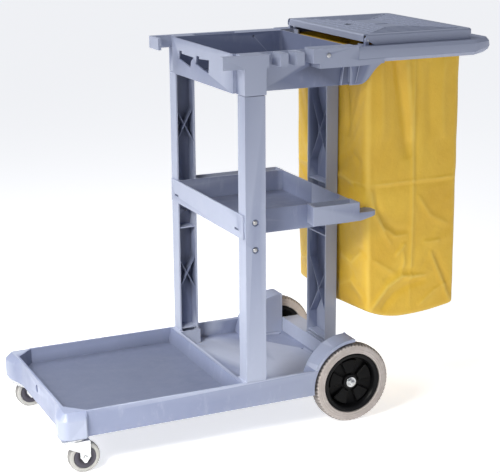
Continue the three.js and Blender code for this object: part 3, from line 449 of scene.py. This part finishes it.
def add_hub(side):
    """Black hub: a deep bowl with five raised wedges between the boss and the rim."""
    outwards = SIDES[side]
    node = f"rear_hub_{side}"
    centre = middle_of(f"rear_tyre_{side}")
    profile = [(radius, along * outwards) for radius, along in HUB_BOWL]
    if outwards < 0:
        profile.reverse()
    body = f"rear_wheel_{side}"
    bowl = lathe(f"{node}_bowl", profile, centre, HUB_STEPS, HUB, body, "hub_plastic", node)
    points, faces = [], []
    steps = PADDLE_STEPS
    for index in range(PADDLES):
        middle = FIRST_PADDLE + index * 2 * math.pi / PADDLES
        first = len(points)
        for level, shrink in PADDLE_LEVELS:
            for radius in (PADDLE_RADII[0] + shrink, PADDLE_RADII[1] - shrink):
                for step in range(steps):
                    share = step / (steps - 1) * 2 - 1
                    angle = middle + share * (PADDLE_HALF_ANGLE - shrink / radius)
                    points.append((
                        centre.x + radius * MM * math.cos(angle),
                        centre.y + outwards * level * MM,
                        centre.z + radius * MM * math.sin(angle),
                    ))
        loop = list(range(steps)) + list(range(2 * steps - 1, steps - 1, -1))
        rings = [[first + 2 * steps * level + at for at in loop] for level in range(3)]
        if outwards > 0:
            rings = [ring[::-1] for ring in rings]
        for lower, upper in zip(rings[:-1], rings[1:]):
            for at in range(len(loop)):
                after = (at + 1) % len(loop)
                faces.append((lower[at], lower[after], upper[after], upper[at]))
        faces.append(tuple(rings[-1]))
        faces.append(tuple(rings[0][::-1]))
    wedges = mesh_piece(f"{node}_paddles", points, faces, HUB, body, "hub_plastic")
    for piece in (bowl, wedges):
        sharpen(piece, SHARP_EDGE)


def sharpen(piece, degrees):
    """Flat shading across edges sharper than this angle, smooth elsewhere."""
    bpy.context.view_layer.objects.active = piece
    piece.data.set_sharp_from_angle(angle=math.radians(degrees))


def add_wheels():
    for side in SIDES:
        add_hub(side)
        node = f"rear_tyre_{side}"
        lathe(
            f"rear_tyre_{side}_rubber", tyre_profile(TYRE_HALF_WIDTH), middle_of(node), TREAD_TEETH * 6,
            TYRE, f"rear_wheel_{side}", "tyre_rubber", node, tread_notches,
        )
        node = f"caster_tread_{side}"
        lathe(
            f"caster_tread_{side}_rubber", small_tread_profile(CASTER_HALF_WIDTH), middle_of(node),
            CASTER_STEPS, CASTER_RUBBER, f"caster_wheel_{side}", "tyre_rubber", node,
        )


# ---------------------------------------------------------------- the bag

FLANGE = 10 * MM            # the rim that lies on the frame's ledge
CUFF_REACH = 22.5 * MM      # how far the cuff goes over the crossbar
CUFF_HALF = 154 * MM
BAG_STEP = 8 * MM
BAG_SKIN = 1.1 * MM
LOWEST_BACK = 0.106         # the hem's lowest point, back from the bag's front, m
HEM_LIFT = 0.032            # the most that the hem rises, m
HELD_RIM = 10 * MM          # the skin this far below the rim doesn't move in the simulation
LOOSE_PIN = 0.14            # how strongly the rest is drawn back to its shape
HANG_FRAMES = 30
# How far the front of the bag stands out past its mouth, at heights from its foot up, in mm.
FRONT_SWELL = ((247, -6), (261, -3), (430, 3), (640, 6.5), (890, 8), (901, 1), (960, 0))


class BagShape:
    def __init__(self):
        low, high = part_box("vinyl_bag")
        self.foot, self.rim = low[2], high[2] - 1.2 * MM
        self.front = low[0] + CUFF_REACH
        self.back = high[0] - FLANGE
        self.half = high[1] - FLANGE
        self.middle = (self.front + self.back) / 2
        self.low_point = self.front + LOWEST_BACK

    def outline(self, height, count, grow=0.0):
        """Points round the bag at a height, evenly spaced, from the middle of its front face."""
        swell = np.interp(height / MM, *zip(*FRONT_SWELL)) * MM
        front, back, half = self.front - swell - grow, self.back + grow, self.half + grow
        corners = (
            (back - 9 * MM, half - 12 * MM, 9 * MM, 12 * MM, 90, 0),
            (back - 9 * MM, -half + 12 * MM, 9 * MM, 12 * MM, 0, -90),
            (front + 9 * MM, -half + 22 * MM, 9 * MM, 22 * MM, -90, -180),
        )
        path = [(front, 0.0)]
        for degrees in np.linspace(180, 90, 8):
            turn = math.radians(degrees)
            path.append((front + 9 * MM + 9 * MM * math.cos(turn), half - 22 * MM + 22 * MM * math.sin(turn)))
        for x, y, across, along, start, end in corners:
            for degrees in np.linspace(start, end, 8):
                turn = math.radians(degrees)
                path.append((x + across * math.cos(turn), y + along * math.sin(turn)))
        path.append((front, 0.0))
        path = np.array(path)
        travelled = np.concatenate([[0], np.cumsum(np.linalg.norm(np.diff(path, axis=0), axis=1))])
        wanted = np.linspace(0, travelled[-1], count, endpoint=False)
        return np.stack([np.interp(wanted, travelled, path[:, axis]) for axis in (0, 1)], axis=1)

    def hem_height(self, x, y):
        """The bottom edge hangs lowest near the front third of the side and lifts at the corners."""
        reach = x - self.low_point
        lift = 25 * MM * (reach / 0.103) ** 2 if reach < 0 else 16 * MM * (reach / 0.149) ** 2
        on_side = 0.45 + 0.55 * min(1.0, abs(y) / self.half)
        return self.foot + min(lift, HEM_LIFT) * on_side

    def build(self):
        count = int(2 * (self.back - self.front + 2 * self.half) / BAG_STEP)
        rings = []
        cuff_steps = ((4, 0), (9, 0), (15, 0), (21.5, -1), (23.6, -4), (23.8, -10), (23.6, -16), (23.8, -21))
        mouth = self.outline(self.rim, count)
        outer = self.outline(self.rim, count, FLANGE - 0.5 * MM)
        for index in reversed(range(len(cuff_steps))):
            reach, drop = cuff_steps[index]
            ring = []
            for (x, y), (flange_x, flange_y) in zip(mouth, outer):
                share = (index + 1) / len(cuff_steps)
                point = [x + (flange_x - x) * share, y + (flange_y - y) * share, self.rim]
                if x < self.front + 1 * MM and abs(y) < CUFF_HALF:
                    point = [self.front - reach * MM, y, self.rim + drop * MM]
                ring.append(point)
            rings.append(ring)
        heights = np.arange(self.rim, self.foot + 4 * MM, -BAG_STEP)
        for height in heights:
            ring = []
            for x, y in self.outline(height, count):
                hem = self.hem_height(x, y)
                share = (self.rim - height) / (self.rim - heights[-1])
                ring.append([x, y, self.rim + (hem - self.rim) * share])
            rings.append(ring)
        edge = np.array(rings[-1])
        for step in range(1, 13):
            inwards = 1 - step / 13.5
            ring = edge.copy()
            ring[:, 0] = self.middle + (edge[:, 0] - self.middle) * inwards
            ring[:, 1] = edge[:, 1] * inwards
            ring[:, 2] = self.foot + (edge[:, 2] - self.foot) * inwards ** 3 + 1 * MM
            rings.append(ring.tolist())
        points = [point for ring in rings for point in ring]
        faces = ring_faces(len(rings), count)
        points.append([self.middle, 0, self.foot + 1 * MM])
        last = (len(rings) - 1) * count
        faces += [(last + index, last + (index + 1) % count, len(points) - 1) for index in range(count)]
        return np.array(points), faces


def distance_to_line(across, up, line):
    """Distance from each point to a polyline, and how far along it the nearest point is, 0 to 1."""
    line = np.array(line, float)
    best = np.full(across.shape, 1e9)
    where = np.zeros(across.shape)
    lengths = np.linalg.norm(np.diff(line, axis=0), axis=1)
    starts = np.concatenate([[0], np.cumsum(lengths)])
    for index, (start, end) in enumerate(zip(line[:-1], line[1:])):
        span = end - start
        share = ((across - start[0]) * span[0] + (up - start[1]) * span[1]) / (span @ span)
        share = np.clip(share, 0, 1)
        away = np.hypot(across - start[0] - share * span[0], up - start[1] - share * span[1])
        nearer = away < best
        best = np.where(nearer, away, best)
        where = np.where(nearer, (starts[index] + share * lengths[index]) / starts[-1], where)
    return best, where


# Folds pressed into the near face: height and half width in mm, then points (from the bag's
# front corner towards the handle, up from the floor), also in mm.
NEAR_FOLDS = (
    (2.0, 2.6, ((126, 925), (127, 745), (128, 590), (129, 440), (127, 262))),
    (-1.2, 5, ((135, 925), (136, 745), (137, 590))),
    (1.8, 2.8, ((6, 591), (128, 591), (257, 592))),
    (-1.4, 5, ((6, 583), (128, 583), (257, 584))),
    (-5.5, 17, ((74, 915), (82, 866), (94, 797), (106, 734), (114, 650))),
    (3.5, 11, ((102, 915), (108, 850), (120, 760), (122, 690))),
    (2.4, 18, ((30, 915), (36, 820), (40, 700))),
    (-1.6, 12, ((170, 910), (168, 820), (180, 700))),
    (2.0, 14, ((210, 905), (206, 800), (214, 690))),
    (2.0, 4, ((8, 580), (18, 529), (42, 483), (80, 455), (123, 455))),
    (-1.6, 6, ((20, 590), (30, 536), (54, 494), (88, 470), (122, 470))),
    (1.8, 4, ((27, 515), (51, 461), (72, 433))),
    (4.0, 4.5, ((14, 270), (62, 327), (100, 348), (174, 341))),
    (-3.4, 9, ((44, 266), (88, 308), (135, 327), (174, 333))),
    (-1.8, 8, ((50, 345), (96, 366), (140, 360))),
    (2.4, 4, ((84, 403), (112, 433))),
    (1.8, 4, ((162, 430), (213, 429))),
    (2.2, 4.5, ((184, 406), (216, 336), (246, 264))),
    (-1.6, 7, ((194, 406), (226, 340), (250, 280))),
    (1.8, 4, ((100, 348), (108, 384), (104, 420))),
    (2.0, 4.5, ((150, 262), (200, 300), (246, 318))),
    (1.6, 5, ((20, 400), (60, 372), (90, 352))),
    (1.6, 6, ((140, 560), (180, 500), (236, 470))),
)
FRONT_FOLDS = (
    (2.4, 4, ((-187, 592), (0, 594), (187, 592))),
    (3.2, 6, ((-60, 604), (-92, 598), (-138, 585))),
    (-2.6, 9, ((-168, 640), (-120, 660), (-60, 640))),
    (2.6, 8, ((-170, 420), (-120, 380), (-60, 390))),
    (2.2, 8, ((-40, 300), (-110, 330), (-175, 300))),
    (-3.0, 14, ((-70, 890), (-90, 800), (-100, 700))),
    (3.0, 12, ((60, 890), (70, 780), (90, 660))),
    (-2.8, 12, ((130, 880), (120, 760), (128, 640))),
    (2.4, 7, ((40, 300), (110, 340), (172, 320))),
)


def press_folds(points, shape):
    """Moves the bag's skin out or in along the folds of each face."""
    x, y, z = (points[:, axis] / MM for axis in range(3))
    front, back, half = shape.front / MM, shape.back / MM, shape.half / MM
    moved = points.copy()
    below_rim = np.clip((shape.rim / MM - 6 - z) / 30, 0, 1) * np.clip((z - shape.foot / MM) / 14, 0, 1)
    sides = (
        (1, -1, NEAR_FOLDS, x - front, np.clip((-y - half + 26) / 14, 0, 1)),
        (1, 1, NEAR_FOLDS, back - x, np.clip((y - half + 26) / 14, 0, 1)),
        (0, -1, FRONT_FOLDS, y, np.clip((front + 16 - x) / 10, 0, 1)),
        (0, 1, FRONT_FOLDS, -y, np.clip((x - back + 16) / 10, 0, 1)),
    )
    for axis, outwards, folds, across, on_face in sides:
        for height, width, line in folds:
            away, along = distance_to_line(across, z, line)
            ends = np.clip(np.minimum(along, 1 - along) * 6, 0, 1) ** 0.5
            lifted = height * np.exp(-(away / width) ** 1.5) * ends
            moved[:, axis] += outwards * lifted * on_face * below_rim * MM
    return moved


def rumple(points, size, height, seed):
    """A smooth random height for each point, from a few waves of about that size."""
    random = np.random.default_rng(seed)
    total = np.zeros(len(points))
    for _ in range(14):
        direction = random.normal(size=3)
        direction /= np.linalg.norm(direction)
        wave = size * random.uniform(0.7, 1.5)
        total += np.sin(points @ direction * 2 * math.pi / wave + random.uniform(0, 2 * math.pi))
    return total * height / math.sqrt(7)


def let_hang(piece, pin_group, frames=HANG_FRAMES):
    """The cloth simulation: the skin is slightly longer than its shape, so it slackens and folds."""
    scene = bpy.context.scene
    modifier = piece.modifiers.new("hang", "CLOTH")
    settings = modifier.settings
    settings.quality = 6
    settings.mass = 0.12
    settings.tension_stiffness = settings.compression_stiffness = 25
    settings.shear_stiffness = 12
    settings.bending_stiffness = 1.5
    settings.air_damping = 3
    settings.shrink_min = settings.shrink_max = -0.009
    settings.vertex_group_mass = pin_group
    settings.pin_stiffness = 6
    settings.use_pressure = True
    settings.uniform_pressure_force = 0.1
    modifier.collision_settings.use_collision = False
    modifier.point_cache.frame_start = 1
    modifier.point_cache.frame_end = frames
    scene.frame_start = 1
    scene.frame_end = frames
    for number in range(1, frames + 1):
        scene.frame_set(number)
    hung = piece.evaluated_get(bpy.context.evaluated_depsgraph_get()).to_mesh()
    points = np.array([vertex.co[:] for vertex in hung.vertices])
    piece.modifiers.remove(modifier)
    scene.frame_set(1)
    return points


def refine(piece):
    """Halves the mesh's steps, and returns its points."""
    finer = piece.modifiers.new("finer", "SUBSURF")
    finer.levels = finer.render_levels = 1
    graph = bpy.context.evaluated_depsgraph_get()
    graph.update()
    mesh = bpy.data.meshes.new_from_object(piece.evaluated_get(graph))
    piece.modifiers.remove(finer)
    piece.data = mesh
    points = np.empty(len(mesh.vertices) * 3)
    mesh.vertices.foreach_get("co", points)
    return points.reshape(-1, 3)


def add_bag():
    shape = BagShape()
    points, faces = shape.build()
    piece = mesh_piece("vinyl_bag_sewn", points, faces, VINYL, "chassis", "bag_vinyl", "vinyl_bag")
    outward = rumple(points, 0.13, 0.35 * MM, 5)
    start = press_folds(points, shape)
    start[:, 0] += outward * (points[:, 2] < shape.rim - 20 * MM)
    start[:, 1] += outward * np.sign(points[:, 1]) * (points[:, 2] < shape.rim - 20 * MM)
    piece.data.vertices.foreach_set("co", start.ravel())
    pins = piece.vertex_groups.new(name="held")
    for index, point in enumerate(points):
        on_cuff = point[0] < shape.front - 14 * MM
        held = 1.0 if point[2] > shape.rim - HELD_RIM or on_cuff else LOOSE_PIN
        pins.add([index], held, "REPLACE")
    points = let_hang(piece, "held")
    piece.vertex_groups.clear()
    piece.data.vertices.foreach_set("co", points.ravel())
    points = refine(piece)
    points = press_folds(points, shape)
    piece.data.vertices.foreach_set("co", points.ravel())
    skin = piece.modifiers.new("skin", "SOLIDIFY")
    skin.thickness = BAG_SKIN
    skin.offset = 0
    return piece


# ---------------------------------------------------------------- assembly

add_camera()
add_world(0.3, 1.0)
add_floor(14)
add_area_light("key", (-3.0, -1.3, 1.9), (-0.2, 0, 0.4), (1.0, 0.8), 20, (1, 0.985, 0.95))
add_area_light("deck_light", (-1.35, -0.9, 1.3), (-0.38, -0.02, 0.11), (0.6, 0.5), 5.0, (1, 0.99, 0.94), 55)
add_area_light("back_light", (-1.0, 1.2, 2.3), (0.1, 0, 0.9), (1.2, 1.0), 29)
bpy.context.scene.view_settings.view_transform = "Standard"
dress_cad_nodes()
add_wheels()
add_bag()
